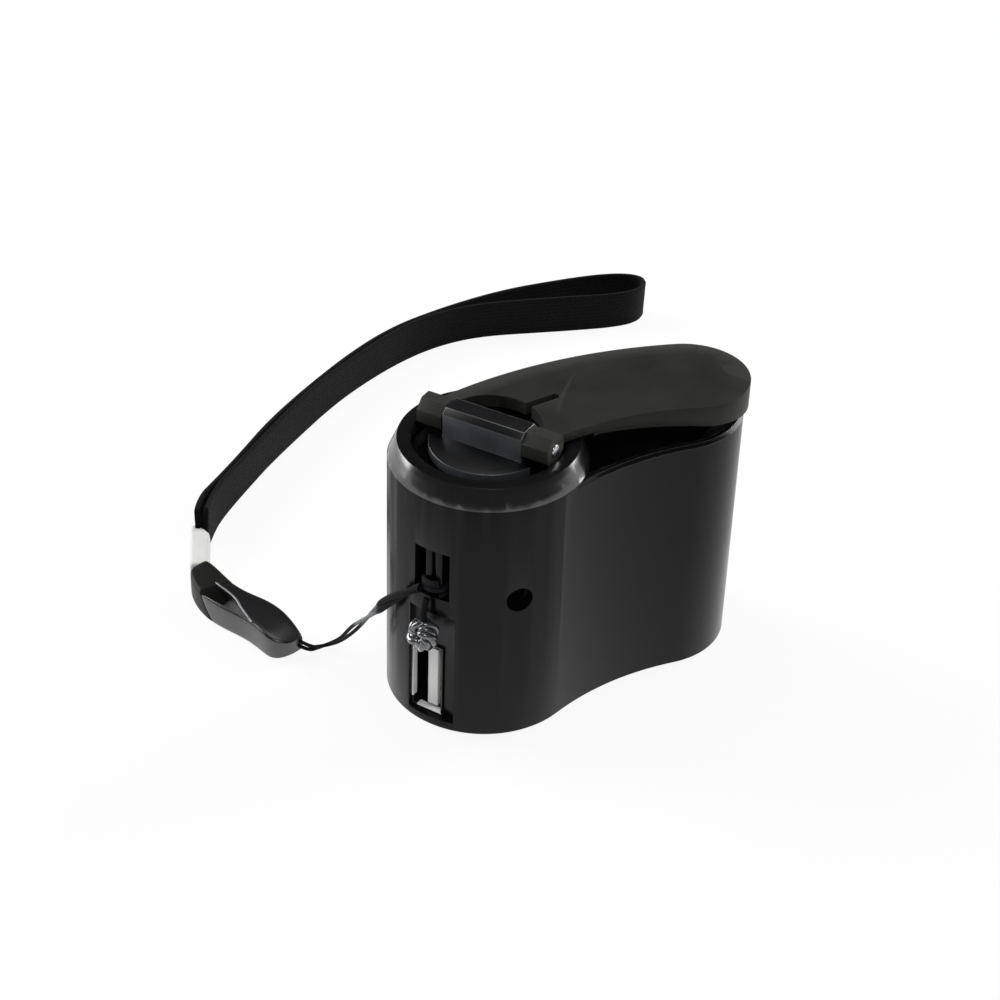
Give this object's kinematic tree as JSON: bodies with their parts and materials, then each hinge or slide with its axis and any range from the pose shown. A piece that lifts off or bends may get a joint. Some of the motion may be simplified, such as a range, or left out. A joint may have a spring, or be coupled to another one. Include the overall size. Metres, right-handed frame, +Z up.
{
  "type": "hand crank phone charger",
  "caption": "Pocket hand crank phone charger: kidney-shaped casing, folding crank on top, geared generator inside, USB socket in the end wall and a wrist lanyard with buckle.",
  "frame": {"origin": "on the crank's turning axis, at the flat base that the charger stands on", "axes": "+Z up along the crank's axis, +X from the hub to the casing's far tip, -Y the hollow front"},
  "size_m": [0.1222, 0.1111, 0.0497],
  "materials": {
    "casing_plastic": "semi-gloss moulded",
    "crank_plastic": "satin moulded",
    "hub_plastic": "semi-gloss moulded",
    "knob_plastic": "satin moulded",
    "screw_steel": "zinc plated",
    "pin_steel": "ground",
    "bearing_bronze": "sintered",
    "gear_plastic": "natural acetal",
    "inner_plastic": "moulded",
    "generator_steel": "plated sheet",
    "coil_copper": "enamelled wire",
    "magnet_ferrite": "sintered",
    "board_laminate": "solder mask",
    "socket_shell": "bright plated",
    "socket_tongue": "moulded",
    "contact_gold": "plated",
    "component_black": "moulded",
    "led_lens": "tinted clear",
    "cord_black": "braided",
    "cord_silver": "glossy braided",
    "buckle_plastic": "moulded",
    "ferrule_white": "moulded",
    "strap_webbing": "woven"
  },
  "bodies": {
    "casing": {"main_housing": "casing_plastic", "base_cover": "casing_plastic", "base_screws": "screw_steel", "hub_bush": "bearing_bronze", "lanyard_bar": "casing_plastic", "gear_plate": "inner_plastic", "gear_plate_screws": "screw_steel", "first_idler_shaft": "pin_steel", "second_idler_shaft": "pin_steel", "generator_can": "generator_steel", "generator_end_cap": "inner_plastic", "generator_bushes": "bearing_bronze", "stator_core": "generator_steel", "stator_coils": "coil_copper", "circuit_board": "board_laminate", "usb_shell": "socket_shell", "usb_tongue": "socket_tongue", "usb_contacts": "contact_gold", "capacitor": "component_black", "inductor": "component_black", "boost_chip": "component_black", "charge_led": "led_lens", "led_leads": "contact_gold", "lanyard_cord": "cord_black", "lanyard_hitch": "cord_black", "lanyard_knot": "cord_silver", "buckle_socket": "buckle_plastic", "buckle_plug": "buckle_plastic", "strap_ferrule": "ferrule_white", "wrist_strap": "strap_webbing"},
    "crank": {"crank_hub": "hub_plastic", "drive_gear": "gear_plastic", "hub_washer": "pin_steel", "hub_screw": "screw_steel"},
    "arm": {"crank_arm": "crank_plastic", "hinge_pin": "pin_steel", "knob_screw": "screw_steel"},
    "knob": {"finger_knob": "knob_plastic"},
    "first_idler": {"first_idler_gear": "gear_plastic"},
    "second_idler": {"second_idler_gear": "gear_plastic"},
    "rotor": {"rotor_magnet": "magnet_ferrite", "rotor_shaft": "pin_steel", "generator_pinion": "gear_plastic"}
  },
  "joints": [
    {"name": "crank_spin", "type": "hinge", "parent": "casing", "child": "crank", "pos_m": [0, 0, 0.0428], "axis": [0, 0, 1], "continuous": true},
    {"name": "arm_fold", "type": "hinge", "parent": "crank", "child": "arm", "pos_m": [0, 0, 0.0472], "axis": [0.4901, -0.8716, 0], "range_deg": [0, 180]},
    {"name": "knob_spin", "type": "hinge", "parent": "arm", "child": "knob", "pos_m": [0.0352, -0.002, 0.0448], "axis": [0, 0, 1], "continuous": true},
    {"name": "first_idler_spin", "type": "hinge", "parent": "casing", "child": "first_idler", "pos_m": [0.01367, 0.00192, 0.034], "axis": [0, 0, 1], "continuous": true},
    {"name": "second_idler_spin", "type": "hinge", "parent": "casing", "child": "second_idler", "pos_m": [0.0251, 0.00556, 0.031], "axis": [0, 0, 1], "continuous": true},
    {"name": "rotor_spin", "type": "hinge", "parent": "casing", "child": "rotor", "pos_m": [0.0314, 0, 0.02], "axis": [0, 0, 1], "continuous": true}
  ],
  "couplings": [
    {"joint": "first_idler_spin", "follows": "crank_spin", "ratio": -3.6},
    {"joint": "second_idler_spin", "follows": "crank_spin", "ratio": 10.8},
    {"joint": "rotor_spin", "follows": "crank_spin", "ratio": -27}
  ]
}
